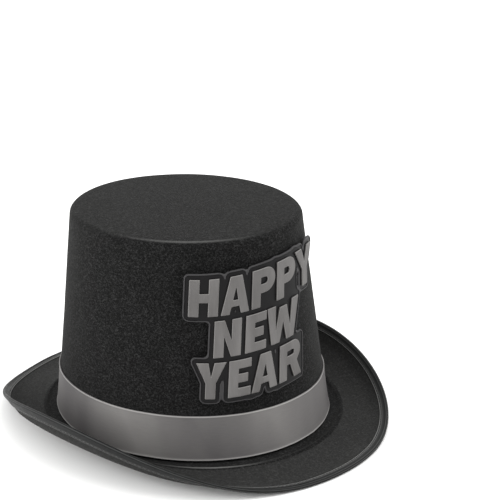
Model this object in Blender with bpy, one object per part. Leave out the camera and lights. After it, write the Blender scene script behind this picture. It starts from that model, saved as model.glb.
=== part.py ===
"""A stiff felt top hat for New Year's Eve: crown, curled brim, ribbon band and a three-row sign.

Metres, +Z up. The hat stands on the front and back of its brim at z = 0. The sign and the
wearer's face look along -Y, and the wearer's right hand is at -X.

Round pieces are turned as blanks about Z and then blocked: a blank's radius and height are
read as a distance and a height on the hat, and the oval and the curl are put in by one rule.
"""

import math

import bmesh
import bpy
from mathutils import Vector

# The crown, measured on its outside
hat_height = 0.1539
crown_foot_radius = 0.0969
crown_tip_radius = 0.0793
crown_oval = 0.0051
crown_felt = 0.0020
crown_edge_radius = 0.0050
tip_dome = 0.0008
tip_ring_share = 0.55
tip_ring_drop = 0.3

# The brim
brim_felt = 0.0012
brim_front_width = 0.0427
brim_side_width = 0.0309
brim_corner = 0.018
side_lift = 0.0304
lift_power = 2.46
flat_share = 0.20
curl_inset = 0.0042
curl_height_share = 0.518
front_ease = 0.30
brim_foot_rise = 0.0035
collar_height = 0.0095
collar_bend = 0.0022
step_height = 0.0012
step_start = 0.0045
step_width = 0.0098
edge_strip = 0.0095

# The binding round the brim's edge, and the wire in its fold
binding_cloth = 0.0004
binding_top = 0.0038
binding_under = 0.0050
wire_radius = 0.0007
wire_room = 0.0003
fold_wrap = 125
wire_split = math.radians(0.6)

# The ribbon band outside and the sweatband inside
band_width = 0.0307
band_cloth = 0.0007
band_lift = 0.0007
tab_width = 0.014
sweatband_width = 0.032
sweatband_cloth = 0.0009

# The sign: a bent backing with twelve letters in three rows
sign_height = 0.0866
sign_turn = math.radians(-8.0)
sign_standoff = 0.0012
sign_tighter = 0.0032
sign_rise = 0.078
sign_bow = 0.84
sign_sweep = -14.8
backing_board = 0.0014
backing_margin = 0.0037
backing_fillet = 0.0030
letter_board = 0.0007
letter_height = 0.0246
letter_stroke = 0.0066
letter_slant = 0.143
row_gap = 0.0033
middle_row = 0.0064
row_starts = (-0.0557, -0.0422, -0.0570)
pad_radius = 0.0045
pad_clearance = 0.00036
pad_places = ((-0.032, 0.034), (0.004, 0.034), (0.042, 0.036), (-0.034, -0.021), (0.000, -0.021))

# Fits and facets
clearance = 0.0003
turn_steps = 64
sign_slice = 0.0045
outline_cell = 0.003

# Colours are linear RGB
black_felt = ("black felt", (0.018, 0.019, 0.020), 0.95, 0.0)
black_tape = ("black binding tape", (0.022, 0.023, 0.024), 0.80, 0.0)
silver_satin = ("silver grey satin", (0.22, 0.22, 0.22), 0.40, 0.3)
black_cotton = ("black cotton sweatband", (0.015, 0.015, 0.016), 0.85, 0.0)
black_board = ("black board", (0.025, 0.024, 0.025), 0.60, 0.0)
silver_foil = ("silver foil board", (0.27, 0.26, 0.255), 0.35, 0.4)
steel = ("steel wire", (0.50, 0.50, 0.50), 0.35, 1.0)
clear_glue = ("hot glue", (0.60, 0.58, 0.52), 0.30, 0.0)


def clear_scene():
    for item in list(bpy.data.objects):
        bpy.data.objects.remove(item, do_unlink=True)


def material(finish):
    name, colour, roughness, metallic = finish
    made = bpy.data.materials.get(name)
    if made is None:
        made = bpy.data.materials.new(name)
        made.use_nodes = True
        shader = made.node_tree.nodes["Principled BSDF"]
        shader.inputs["Base Color"].default_value = (*colour, 1.0)
        shader.inputs["Roughness"].default_value = roughness
        shader.inputs["Metallic"].default_value = metallic
    return made


def finish_piece(name, bm, finish, sharp_angle=math.radians(35)):
    bmesh.ops.recalc_face_normals(bm, faces=bm.faces)
    mesh = bpy.data.meshes.new(name)
    bm.to_mesh(mesh)
    bm.free()
    mesh.shade_smooth()
    mesh.set_sharp_from_angle(angle=sharp_angle)
    mesh.materials.append(material(finish))
    piece = bpy.data.objects.new(name, mesh)
    bpy.context.scene.collection.objects.link(piece)
    return piece


# Turning a blank -------------------------------------------------------------------------


def turn(section, first_angle=0.0, sweep=2 * math.pi, steps=turn_steps):
    """Turns a section of (radius, height) points about Z; angle 0 is the front, +X follows."""
    bm = bmesh.new()
    whole = sweep > 2 * math.pi - 1e-6
    corners = []
    for radius, height in section:
        place = (radius * math.sin(first_angle), -radius * math.cos(first_angle), height)
        corners.append(bm.verts.new(place))
    if whole:
        edges = [bm.edges.new(pair) for pair in zip(corners, corners[1:] + corners[:1])]
        geometry = corners + edges
    else:
        geometry = [bm.faces.new(corners)]
    bmesh.ops.spin(bm, geom=geometry, cent=(0, 0, 0), axis=(0, 0, 1), angle=sweep,
                   steps=steps, use_merge=whole)
    bmesh.ops.remove_doubles(bm, verts=bm.verts, dist=1e-6)
    return bm


def blank_place(point):
    """The angle, radius and height of a point on a turned blank."""
    angle = math.atan2(point.x, -point.y)
    return angle, math.hypot(point.x, point.y), point.z


def block(bm, rule):
    """Moves a blank's points to their place on the hat, with facets that neighbours share."""
    for corner in bm.verts:
        corner.co = rule(*blank_place(corner.co))
    bmesh.ops.remove_doubles(bm, verts=bm.verts, dist=1e-6)
    bmesh.ops.triangulate(bm, faces=list(bm.faces), quad_method="SHORT_EDGE")


def arc_points(centre, radius, start, end, count):
    """Points on an arc, angles in degrees from the first axis, both ends included."""
    points = []
    for step in range(count + 1):
        angle = math.radians(start + (end - start) * step / count)
        points.append((centre[0] + radius * math.cos(angle), centre[1] + radius * math.sin(angle)))
    return points


# The crown -------------------------------------------------------------------------------

brim_rest = binding_cloth + clearance + brim_felt / 2
foot_height = brim_rest + brim_foot_rise
crown_base = foot_height + brim_felt / 2 + clearance + collar_bend * 0.5
wall_slope = (crown_foot_radius - crown_tip_radius) / (hat_height - crown_base)
wall_length_share = math.sqrt(1 + wall_slope ** 2)


def wall_radius(height):
    """The crown's outer radius on the round blank."""
    return crown_foot_radius - wall_slope * (height - crown_base)


def oval(angle, radius, height):
    """Blocks a round blank into the head's oval, longer from front to back."""
    shift = crown_oval * min(1.0, radius / crown_tip_radius)
    return Vector(((radius - shift) * math.sin(angle), -(radius + shift) * math.cos(angle), height))


def tip_corner(inset):
    """The rounded corner of the tip, moved inward from the outside by inset."""
    lean = math.degrees(math.atan(wall_slope))
    top = hat_height - tip_dome - inset
    radius = crown_edge_radius - inset
    side = wall_radius(top - radius) - inset * wall_length_share
    centre = (side - radius * math.cos(math.radians(lean)), top - radius)
    return arc_points(centre, radius, lean, 90, 4)


def make_crown():
    outside = [(wall_radius(crown_base), crown_base)]
    for share in (0.2, 0.4, 0.7):
        height = crown_base + share * (hat_height - crown_base)
        outside.append((wall_radius(height), height))
    outside += tip_corner(0.0)
    ring_height = hat_height - tip_dome * tip_ring_drop
    outside.append((outside[-1][0] * tip_ring_share, ring_height))
    outside.append((0.0, hat_height))
    inside = [(0.0, hat_height - crown_felt)]
    inner_corner = tip_corner(crown_felt)
    inside.append((outside[-2][0], ring_height - crown_felt))
    inside += reversed(inner_corner)
    for share in (0.7, 0.4, 0.2):
        height = crown_base + share * (hat_height - crown_base)
        inside.append((wall_radius(height) - crown_felt * wall_length_share, height))
    inside.append((wall_radius(crown_base) - crown_felt * wall_length_share, crown_base))
    bm = turn(outside + inside)
    block(bm, oval)
    return finish_piece("crown", bm, black_felt)


# The brim --------------------------------------------------------------------------------

collar_out = -(crown_felt * wall_length_share + clearance + brim_felt / 2)
step_end = step_start + step_width
blank_width = 0.047
blank_radius = 0.100


def edge_share(angle):
    """How far round to the side an angle is: 0 over the flat front and back, 1 at the side."""
    return max(0.0, (abs(math.sin(angle)) - flat_share) / (1 - flat_share))


def brim_curve(angle):
    """The brim's middle line at one angle, as (outward, height) points from the crown's foot."""
    foot = oval(angle, crown_foot_radius, 0.0)
    corner = 1 + brim_corner * math.sin(2 * angle) ** 2
    half_width = crown_foot_radius - crown_oval + brim_side_width
    half_length = crown_foot_radius + crown_oval + brim_front_width
    edge = Vector((half_width * corner * math.sin(angle),
                   -half_length * corner * math.cos(angle), 0.0))
    outward = (edge - foot).normalized()
    width = (edge - foot).length
    share = edge_share(angle)
    edge_height = brim_rest + side_lift * share ** lift_power
    bend_out = collar_out + collar_bend
    start = Vector((bend_out, foot_height))
    easy = Vector((bend_out + 0.1 * width, foot_height + 0.0008))
    pull = Vector((width - curl_inset * share - width * front_ease * (1 - share),
                   brim_rest + (edge_height - brim_rest) * curl_height_share))
    end = Vector((width, edge_height))
    run = (end - pull).normalized()
    strip = end - run * edge_strip
    pull = pull - run * edge_strip * 0.5
    points = [Vector((collar_out - wall_slope * collar_height,
                      foot_height + collar_bend + collar_height))]
    for step in range(7):
        turned = math.radians(180 + 90 * step / 6)
        points.append(Vector((bend_out + collar_bend * math.cos(turned),
                              foot_height + collar_bend + collar_bend * math.sin(turned))))
    for step in range(1, 33):
        t = step / 32
        points.append(start * (1 - t) ** 3 + easy * (3 * t * (1 - t) ** 2)
                      + pull * (3 * t * t * (1 - t)) + strip * t ** 3)
    points.append(end)
    return foot, outward, points


curve_store = {}


def brim_lengths(angle):
    """The brim's middle line with the distance along it, 0 where the bend meets the brim."""
    key = round(angle, 6)
    if key not in curve_store:
        foot, outward, points = brim_curve(angle)
        along = [0.0]
        for before, after in zip(points[:-1], points[1:]):
            along.append(along[-1] + (after - before).length)
        zero = along[7]
        curve_store[key] = (foot, outward, points, [value - zero for value in along])
    return curve_store[key]


def step_bump(distance):
    """The moulded step: a low ring in the felt just outside the band."""
    share = (distance - step_start) / step_width
    if share <= 0 or share >= 1:
        return 0.0
    return step_height * math.sin(math.pi * share) ** 2


def on_brim(angle, radius, height):
    """Blocks a brim blank: radius is the distance out from the bend, height stands off the felt."""
    foot, outward, points, along = brim_lengths(angle)
    distance = radius - blank_radius
    if distance > blank_width - edge_strip:
        distance = along[-1] - (blank_width - distance)
    elif distance > step_end:
        share = (distance - step_end) / (blank_width - edge_strip - step_end)
        distance = step_end + share * (along[-1] - edge_strip - step_end)
    index = 1
    while index < len(along) - 1 and along[index] < distance:
        index += 1
    before, after = points[index - 1], points[index]
    run = (after - before).normalized()
    place = before + run * (distance - along[index - 1])
    if index < len(points) - 1:
        ahead = (distance - along[index - 1]) / (along[index] - along[index - 1])
        run = run.lerp((points[index + 1] - before).normalized(), ahead).normalized()
    lift = height + step_bump(distance)
    place = place + Vector((-run.y, run.x)) * lift
    return Vector((foot.x, foot.y, 0)) + outward * place.x + Vector((0, 0, place.y))


def brim_stations():
    """Distances out from the collar's top to the felt's edge where the brim has a ring."""
    bend = collar_bend * math.pi / 2
    stations = [-bend - collar_height] + [-bend * share for share in (1.0, 0.75, 0.5, 0.25, 0.0)]
    stations += [step_start, step_start + step_width * 0.3, step_start + step_width * 0.6, step_end]
    free = blank_width - edge_strip - stations[-1]
    stations += [stations[-1] + free * share for share in (0.25, 0.5, 0.75, 1.0)]
    stations += reversed(leg_stations(binding_under))
    return stations


def leg_stations(leg):
    """Distances at the felt's edge and back over a leg of the binding, shared with the brim."""
    whole = [blank_width - leg_share for leg_share in
             (0.0, binding_top * 0.5, binding_top, binding_under)]
    return [station for station in whole if station > blank_width - leg - 1e-6]


def make_brim():
    half = brim_felt / 2
    section = [(blank_radius + place, half) for place in brim_stations()]
    section += [(blank_radius + place, -half) for place in reversed(brim_stations())]
    bm = turn(section)
    block(bm, on_brim)
    return finish_piece("brim", bm, black_felt)


def wire_centre():
    """The wire's middle on the blank, lifted so that its fold stands no lower than the legs."""
    fold = wire_radius + wire_room
    leg = brim_felt / 2 + clearance
    return blank_radius + blank_width + fold, max(0.0, fold - leg)


def make_binding():
    """A tape folded over the brim's edge: two legs and a round fold over the wire."""
    inner = brim_felt / 2 + clearance
    outer = inner + binding_cloth
    fold = wire_radius + wire_room
    centre = wire_centre()
    top = [blank_radius + station for station in leg_stations(binding_top)]
    under = [blank_radius + station for station in leg_stations(binding_under)]
    section = [(place, outer) for place in reversed(top)]
    section += arc_points(centre, fold + binding_cloth, fold_wrap, -90, 7)
    section += [(place, -outer) for place in under]
    section += [(place, -inner) for place in reversed(under)]
    section += arc_points(centre, fold, -90, fold_wrap, 7)
    section += [(place, inner) for place in top]
    bm = turn(section)
    block(bm, on_brim)
    return finish_piece("brim_binding", bm, black_tape)


def make_wire():
    section = arc_points(wire_centre(), wire_radius, 0, 360 * 5 / 6, 5)
    bm = turn(section, math.pi + wire_split / 2, 2 * math.pi - wire_split)
    block(bm, on_brim)
    return finish_piece("brim_wire", bm, steel)


# The bands -------------------------------------------------------------------------------

band_base = crown_base + band_lift


def wall_strip(name, finish, inset, cloth, base, width, first_angle=0.0, sweep=2 * math.pi,
               steps=turn_steps):
    """A strip that follows the crown's wall, standing off its outside by -inset."""
    section = []
    for share in (0.0, 0.5, 1.0):
        height = base + width * share
        section.append((wall_radius(height) - inset, height))
    for share in (1.0, 0.5, 0.0):
        height = base + width * share
        section.append((wall_radius(height) - inset - cloth, height))
    bm = turn(section, first_angle, sweep, steps)
    block(bm, oval)
    return finish_piece(name, bm, finish)


def make_bands():
    stand_off = clearance * wall_length_share
    band_outside = stand_off + band_cloth
    wall_strip("hat_band", silver_satin, -band_outside, band_cloth, band_base, band_width)
    tab_sweep = tab_width / crown_foot_radius
    tab_outside = band_outside + stand_off + band_cloth
    wall_strip("band_tab", silver_satin, -tab_outside, band_cloth, band_base, band_width,
               math.pi - tab_sweep / 2, tab_sweep, 4)
    collar_inside = -collar_out + brim_felt / 2
    sweatband_outside = collar_inside + stand_off
    sweatband_base = foot_height + collar_bend
    wall_strip("sweatband", black_cotton, sweatband_outside, sweatband_cloth, sweatband_base,
               sweatband_width)


# The sign --------------------------------------------------------------------------------

sign_lean = math.atan(wall_slope)
sign_radius = wall_radius(sign_height) - sign_tighter
letter_front = backing_board + clearance + letter_board
row_pitch = letter_height + row_gap
row_heights = (middle_row + row_pitch, middle_row, middle_row - row_pitch)


def on_sign(place):
    """Bends a point of the flat sign (across, up, out) onto the crown's front."""
    up_shift = place.x * sign_rise + sign_bow * place.x ** 2 + sign_sweep * place.x ** 3
    turned = place.x / (sign_radius + letter_front)
    reach = sign_radius + place.z
    out = Vector((0, -math.cos(sign_lean), math.sin(sign_lean)))
    up = Vector((0, math.sin(sign_lean), math.cos(sign_lean)))
    side = Vector((1, 0, 0))
    front = wall_radius(sign_height) + crown_oval + sign_standoff
    centre = Vector((0, -front, sign_height)) - out * sign_radius
    point = centre + out * (reach * math.cos(turned)) + side * (reach * math.sin(turned))
    point += up * (place.y + up_shift)
    cosine, sine = math.cos(sign_turn), math.sin(sign_turn)
    return Vector((point.x * cosine - point.y * sine, point.x * sine + point.y * cosine, point.z))


def letter_h(width, height, stroke):
    low, high = height / 2 - stroke * 0.45, height / 2 + stroke * 0.45
    return [[(0, 0), (stroke, 0), (stroke, low), (width - stroke, low), (width - stroke, 0),
             (width, 0), (width, height), (width - stroke, height), (width - stroke, high),
             (stroke, high), (stroke, height), (0, height)]]


def letter_a(width, height, stroke):
    apex = stroke * 0.62
    middle = width / 2
    slope = (middle - apex) / height
    bar_low, bar_high = height * 0.20, height * 0.37
    foot = stroke * 0.88
    peak = height * 0.71

    def leg(level):
        return foot + slope * level
    outer = [(0, 0), (foot, 0), (leg(bar_low), bar_low), (width - leg(bar_low), bar_low),
             (width - foot, 0), (width, 0), (middle + apex, height), (middle - apex, height)]
    hole = [(leg(bar_high), bar_high), (width - leg(bar_high), bar_high), (middle, peak)]
    return [outer, hole]


def bowl(width, height, stroke, low):
    """The round head of a P or an R: outer half ring and the hole in it."""
    radius = (height - low) / 2
    centre = (width - radius, height - radius)
    outer = arc_points(centre, radius, -90, 90, 8)
    inner_radius = radius - stroke * 0.86
    hole = [(stroke, centre[1] - inner_radius)]
    hole += arc_points((centre[0] - stroke * 0.1, centre[1]), inner_radius, -90, 90, 6)
    hole.append((stroke, centre[1] + inner_radius))
    return outer, hole


def letter_p(width, height, stroke):
    low = height * 0.36
    outer, hole = bowl(width, height, stroke, low)
    return [[(0, 0), (stroke, 0), (stroke, low)] + outer + [(0, height)], hole]


def letter_r(width, height, stroke):
    low = height * 0.40
    head = width * 0.94
    outer, hole = bowl(head, height, stroke, low)
    leg = [(0, 0), (stroke, 0), (stroke, low), (width - stroke * 1.75, low),
           (width - stroke * 1.12, 0), (width, 0), (head - stroke * 0.55, low + stroke * 0.12)]
    return [leg + outer[3:] + [(0, height)], hole]


def letter_y(width, height, stroke):
    left, right = (width - stroke) / 2, (width + stroke) / 2
    fork = height * 0.44
    notch = height * 0.60
    return [[(left, 0), (right, 0), (right, fork), (width, height), (width - stroke * 1.2, height),
             (width / 2, notch), (stroke * 1.2, height), (0, height), (left, fork)]]


def letter_n(width, height, stroke):
    return [[(0, 0), (stroke, 0), (stroke, height * 0.56), (width - stroke, 0), (width, 0),
             (width, height), (width - stroke, height), (width - stroke, height * 0.44),
             (stroke, height), (0, height)]]


def letter_e(width, height, stroke):
    arm = stroke * 0.88
    low, high = (height - arm) / 2, (height + arm) / 2
    short = width * 0.86
    return [[(0, 0), (width, 0), (width, arm), (stroke, arm), (stroke, low), (short, low),
             (short, high), (stroke, high), (stroke, height - arm), (width, height - arm),
             (width, height), (0, height)]]


def letter_w(width, height, stroke):
    foot = stroke * 1.05
    left, right = width * 0.245, width * 0.695
    middle = width * 0.47
    slope = (left - foot / 2) / height
    peak = height * 0.92
    inner = height * 0.34
    return [[(left - foot / 2, 0), (left + foot / 2, 0), (middle, height * 0.52),
             (right - foot / 2, 0), (right + foot / 2, 0), (width, height),
             (width - stroke * 1.05, height),
             (right, inner), (middle + stroke * 0.5, peak), (middle - stroke * 0.5, peak),
             (left, inner), (stroke * 1.05, height), (0, height)]]


# Each row's letters: the piece's short name, its outline, its width, the gap after it, and
# whether the backing fills its open sides
letter_rows = (
    (("h", letter_h, 0.0193, 0.0019, True), ("a", letter_a, 0.0194, 0.0019, False),
     ("p1", letter_p, 0.0184, 0.0018, True), ("p2", letter_p, 0.0185, 0.0003, True),
     ("y", letter_y, 0.0249, 0.0, False)),
    (("n", letter_n, 0.0183, 0.0031, True), ("e", letter_e, 0.0155, 0.0007, True),
     ("w", letter_w, 0.0295, 0.0, False)),
    (("y", letter_y, 0.0198, 0.0019, False), ("e", letter_e, 0.0155, 0.0008, True),
     ("a", letter_a, 0.0199, 0.0020, False), ("r", letter_r, 0.0213, 0.0, True)),
)


def placed(outline, left, row_height):
    """Moves a letter's outline to its place on the flat sign, with the slant."""
    points = []
    for across, up in outline:
        level = up - letter_height / 2
        points.append(Vector((left + across + letter_slant * level, row_height + level, 0)))
    return points


def flat_loops():
    """All letters on the flat sign: (row, name, loops, outline for the backing)."""
    letters = []
    for row, entries in enumerate(letter_rows):
        left = row_starts[row]
        for name, shape, width, gap, filled in entries:
            loops = shape(width, letter_height, letter_stroke)
            base = loops[0]
            if filled:
                base = [(0, 0), (width, 0), (width, letter_height), (0, letter_height)]
            flat = [placed(loop, left, row_heights[row]) for loop in loops]
            letters.append((row + 1, name, flat, placed(base, left, row_heights[row])))
            left += width + gap
    return letters


def slice_across(bm):
    """Cuts the flat sheet into upright strips, so that it can bend."""
    low = min(corner.co.x for corner in bm.verts)
    high = max(corner.co.x for corner in bm.verts)
    first = math.ceil(low / sign_slice + 0.2)
    last = math.floor(high / sign_slice - 0.2)
    for number in range(first, last + 1):
        geometry = list(bm.verts) + list(bm.edges) + list(bm.faces)
        bmesh.ops.bisect_plane(bm, geom=geometry, plane_co=(number * sign_slice, 0, 0),
                               plane_no=(1, 0, 0), dist=1e-5)


def thicken_and_bend(bm, back, board):
    """Gives the flat faces a board's thickness and bends them onto the crown."""
    slice_across(bm)
    extruded = bmesh.ops.extrude_face_region(bm, geom=list(bm.faces))
    raised = [item for item in extruded["geom"] if isinstance(item, bmesh.types.BMVert)]
    bmesh.ops.translate(bm, verts=raised, vec=(0, 0, board))
    for corner in bm.verts:
        corner.co.z += back
        corner.co = on_sign(corner.co)
    bmesh.ops.triangulate(bm, faces=list(bm.faces))


def make_letter(row, name, loops):
    bm = bmesh.new()
    edges = []
    for loop in loops:
        corners = [bm.verts.new(point) for point in loop]
        edges += [bm.edges.new(pair) for pair in zip(corners, corners[1:] + corners[:1])]
    bmesh.ops.triangle_fill(bm, use_beauty=True, use_dissolve=False, edges=edges,
                            normal=(0, 0, 1))
    thicken_and_bend(bm, backing_board + clearance, letter_board)
    return finish_piece(f"letter_row{row}_{name}", bm, silver_foil)


def outline_distance(point, outline):
    """Distance from a point to a closed outline, negative inside it."""
    nearest = 1.0
    inside = False
    for start, end in zip(outline, outline[1:] + outline[:1]):
        run = end - start
        share = min(1.0, max(0.0, (point - start).dot(run) / run.length_squared))
        nearest = min(nearest, (point - start - run * share).length)
        if (start.y > point.y) != (end.y > point.y):
            crossing = start.x + (point.y - start.y) / run.y * run.x
            if point.x < crossing:
                inside = not inside
    return -nearest if inside else nearest


def backing_field(point, outlines):
    """Negative on the backing: the letters grown by the margin, with filleted notches."""
    field = 1.0
    for outline in outlines:
        other = outline_distance(point, outline) - backing_margin
        mix = max(0.0, backing_fillet - abs(field - other)) / backing_fillet
        field = min(field, other) - mix * mix * backing_fillet / 4
    return field


def keep_outer_face(bm):
    """Replaces a flat sheet of small faces by one face with the same outer edge."""
    start = min((corner for corner in bm.verts if corner.is_boundary), key=lambda corner: corner.co.x)
    outer = [start]
    last = None
    while len(outer) == 1 or outer[-1] is not start:
        for edge in outer[-1].link_edges:
            if edge.is_boundary and edge is not last:
                last = edge
                outer.append(edge.other_vert(outer[-1]))
                break
    outer.pop()
    places = [corner.co.copy() for corner in outer]
    bmesh.ops.delete(bm, geom=list(bm.faces), context="FACES")
    bmesh.ops.delete(bm, geom=list(bm.verts), context="VERTS")
    bm.faces.new([bm.verts.new(place) for place in places])


def make_backing(letters):
    outlines = [letter[3] for letter in letters]
    corners = [point for outline in outlines for point in outline]
    room = backing_margin + backing_fillet
    low = Vector((min(p.x for p in corners) - room, min(p.y for p in corners) - room, 0))
    high = Vector((max(p.x for p in corners) + room, max(p.y for p in corners) + room, 0))
    columns = math.ceil((high.x - low.x) / outline_cell)
    rows = math.ceil((high.y - low.y) / outline_cell)
    bm = bmesh.new()
    bmesh.ops.create_grid(bm, x_segments=columns, y_segments=rows, size=0.5)
    values = {}
    for corner in bm.verts:
        corner.co.x = low.x + (corner.co.x + 0.5) * (high.x - low.x)
        corner.co.y = low.y + (corner.co.y + 0.5) * (high.y - low.y)
        values[corner] = backing_field(corner.co, outlines)
    rim = []
    for edge in list(bm.edges):
        first, second = edge.verts
        if values[first] * values[second] < 0:
            share = values[first] / (values[first] - values[second])
            share = min(0.98, max(0.02, share))
            made = bmesh.utils.edge_split(edge, first, share)[1]
            values[made] = 0.0
            rim.append(made)
    bmesh.ops.connect_verts(bm, verts=rim)
    outside = []
    for face in bm.faces:
        if sum(values[corner] for corner in face.verts) > 0:
            outside.append(face)
    bmesh.ops.delete(bm, geom=outside, context="FACES")
    keep_outer_face(bm)
    thicken_and_bend(bm, 0.0, backing_board)
    return finish_piece("sign_backing", bm, black_board)


def crown_depth(place):
    """How far the crown's outside lies behind a point on the backing's back face."""
    start = on_sign(place)
    inward = (on_sign(place - Vector((0, 0, clearance))) - start).normalized()
    near, far = 0.0, crown_foot_radius * 0.5
    while far - near > 1e-6:
        middle = (near + far) / 2
        point = start + inward * middle
        radius = wall_radius(point.z)
        across = point.x / (radius - crown_oval)
        along = point.y / (radius + crown_oval)
        if across ** 2 + along ** 2 > 1:
            near = middle
        else:
            far = middle
    return near


def make_pad(number, across, up):
    """A dot of glue that fills the gap between the crown and the backing."""
    bm = bmesh.new()
    bmesh.ops.create_circle(bm, cap_ends=True, segments=12, radius=pad_radius)
    extruded = bmesh.ops.extrude_face_region(bm, geom=list(bm.faces))
    front = [item for item in extruded["geom"] if isinstance(item, bmesh.types.BMVert)]
    for corner in bm.verts:
        place = Vector((corner.co.x + across, corner.co.y + up, 0))
        out = -clearance
        if corner not in front:
            out = pad_clearance - crown_depth(place)
        corner.co = on_sign(place + Vector((0, 0, out)))
    bmesh.ops.triangulate(bm, faces=list(bm.faces))
    return finish_piece(f"sign_glue_{number}", bm, clear_glue)


def make_sign():
    letters = flat_loops()
    make_backing(letters)
    for number, (across, up) in enumerate(pad_places, 1):
        make_pad(number, across, up)
    for row, name, loops, _ in letters:
        make_letter(row, name, loops)


def main():
    clear_scene()
    make_crown()
    make_brim()
    make_binding()
    make_wire()
    make_bands()
    make_sign()


main()
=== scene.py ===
import math
import random

import bmesh
import bpy
from mathutils import Matrix, Vector, noise


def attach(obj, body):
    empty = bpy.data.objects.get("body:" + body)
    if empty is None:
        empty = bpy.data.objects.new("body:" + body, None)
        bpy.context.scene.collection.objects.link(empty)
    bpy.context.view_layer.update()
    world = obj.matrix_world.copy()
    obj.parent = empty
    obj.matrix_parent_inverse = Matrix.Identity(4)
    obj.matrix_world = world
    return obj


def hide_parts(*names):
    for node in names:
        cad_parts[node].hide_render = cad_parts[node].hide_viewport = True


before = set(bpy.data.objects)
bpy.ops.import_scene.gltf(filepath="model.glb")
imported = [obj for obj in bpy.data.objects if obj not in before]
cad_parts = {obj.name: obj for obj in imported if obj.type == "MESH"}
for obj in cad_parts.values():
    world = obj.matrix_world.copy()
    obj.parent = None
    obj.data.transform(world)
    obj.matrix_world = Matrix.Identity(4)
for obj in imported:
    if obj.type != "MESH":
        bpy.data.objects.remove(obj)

print("frame loaded:", len(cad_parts), "nodes")
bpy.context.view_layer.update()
fullTurn = 2 * math.pi
tiny = 1e-6  # metres, under which two places are one
waveSpacing = 0.314  # how far apart a wave texture's bands are at a scale of 1
creaseAngle = {"felt": 60, "ribbon": 60, "tape": 50, "board": 22, "round": 80, "flat": 40}

# The hat's form, in metres, shared by the pieces below
hat = {
    "height": 0.1539,
    "footRadius": 0.0969,
    "tipRadius": 0.0793,
    "oval": 0.0051,  # taken off at the sides and added front and back
    "crownFelt": 0.0020,
    "brimFelt": 0.0012,
    "brimRise": 0.0035,
    "collarHeight": 0.0095,
    "collarBend": 0.0022,
    "bendShare": 0.5,  # of the bend, under the crown's foot
    "tape": 0.0004,
    "fit": 0.0003,
}
brimRest = hat["tape"] + hat["fit"] + hat["brimFelt"] / 2
footHeight = brimRest + hat["brimRise"]
crownBase = footHeight + hat["brimFelt"] / 2 + hat["fit"] + hat["collarBend"] * hat["bendShare"]
wallSlope = (hat["footRadius"] - hat["tipRadius"]) / (hat["height"] - crownBase)
wallShare = math.sqrt(1 + wallSlope ** 2)


def wallRadius(height):
    return hat["footRadius"] - wallSlope * (height - crownBase)


def onCrown(angle, radius, height):
    # a round blank blocked to the head's oval, longer front to back
    shift = hat["oval"] * min(1.0, radius / hat["tipRadius"])
    across = (radius - shift) * math.sin(angle)
    return Vector((across, -(radius + shift) * math.cos(angle), height))


# Mesh helpers: a section is turned about Z as a blank, then blocked onto the hat

def turnBlank(section, steps, highlights=(), firstAngle=0.0, sweep=fullTurn):
    # for each point of the section, how much it is painted lighter as a painted highlight
    bm = bmesh.new()
    across = bm.verts.layers.float.new("across")
    paintedHighlight = bm.verts.layers.float.new("paintedHighlight")
    ring = []
    run = 0.0
    for index, (radius, height) in enumerate(section):
        if index:
            run += math.dist(section[index - 1], section[index])
        corner = bm.verts.new((radius * math.sin(firstAngle), -radius * math.cos(firstAngle),
                               height))
        corner[across] = run
        if index < len(highlights):
            corner[paintedHighlight] = highlights[index]
        ring.append(corner)
    whole = sweep > fullTurn - tiny
    if whole:
        geometry = ring + [bm.edges.new(pair) for pair in zip(ring, ring[1:] + ring[:1])]
    else:
        geometry = [bm.faces.new(ring)]
    bmesh.ops.spin(bm, geom=geometry, cent=(0, 0, 0), axis=(0, 0, 1), angle=sweep,
                   steps=steps, use_merge=whole)
    bmesh.ops.remove_doubles(bm, verts=bm.verts, dist=tiny)
    loose = [edge for edge in bm.edges if edge.is_wire]
    bmesh.ops.delete(bm, geom=loose, context="EDGES")
    return bm


def blankAngle(place):
    return math.atan2(place.x, -place.y)


def fadeHighlight(bm, middle, wide, least, leastFrom):
    # a painted highlight round one angle, fading to either side, and a little painted light
    # everywhere beyond a radius; this is done before the blank is blocked
    paintedHighlight = bm.verts.layers.float["paintedHighlight"]
    for corner in bm.verts:
        away = (blankAngle(corner.co) - middle) / wide
        leastHere = least if math.hypot(corner.co.x, corner.co.y) > leastFrom else 0.0
        corner[paintedHighlight] = max(leastHere, corner[paintedHighlight] * math.exp(-away * away))


def wrapUv(bm, radius):
    # length along the cloth in u and width in v, both in metres
    across = bm.verts.layers.float["across"]
    layer = bm.loops.layers.uv.new("cloth")
    for face in bm.faces:
        faceAngle = blankAngle(face.calc_center_median())
        for loop in face.loops:
            turned = blankAngle(loop.vert.co) - faceAngle
            turned = (turned + math.pi) % fullTurn - math.pi
            loop[layer].uv = ((faceAngle + turned) * radius, loop.vert[across])


def block(bm, rule):
    for corner in bm.verts:
        place = corner.co
        corner.co = rule(blankAngle(place), math.hypot(place.x, place.y), place.z)


def arcPoints(centre, radius, start, end, count):
    points = []
    for step in range(count + 1):
        angle = math.radians(start + (end - start) * step / count)
        points.append((centre[0] + radius * math.cos(angle), centre[1] + radius * math.sin(angle)))
    return points


def finishPiece(name, bm, finish, crease):
    bmesh.ops.recalc_face_normals(bm, faces=bm.faces)
    mesh = bpy.data.meshes.new(name)
    bm.to_mesh(mesh)
    bm.free()
    mesh.shade_smooth()
    mesh.set_sharp_from_angle(angle=math.radians(creaseAngle[crease]))
    mesh.materials.append(finish)
    piece = bpy.data.objects.new(name, mesh)
    bpy.context.scene.collection.objects.link(piece)
    return piece


def standsFor(piece, slotName, *nodes):
    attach(piece, "root")
    if nodes:
        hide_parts(*nodes)


# Material helpers

def colour(hexCode):
    channels = []
    for start in (0, 2, 4):
        share = int(hexCode[start:start + 2], 16) / 255
        channels.append(share / 12.92 if share <= 0.04045 else ((share + 0.055) / 1.055) ** 2.4)
    return (*channels, 1.0)


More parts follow.
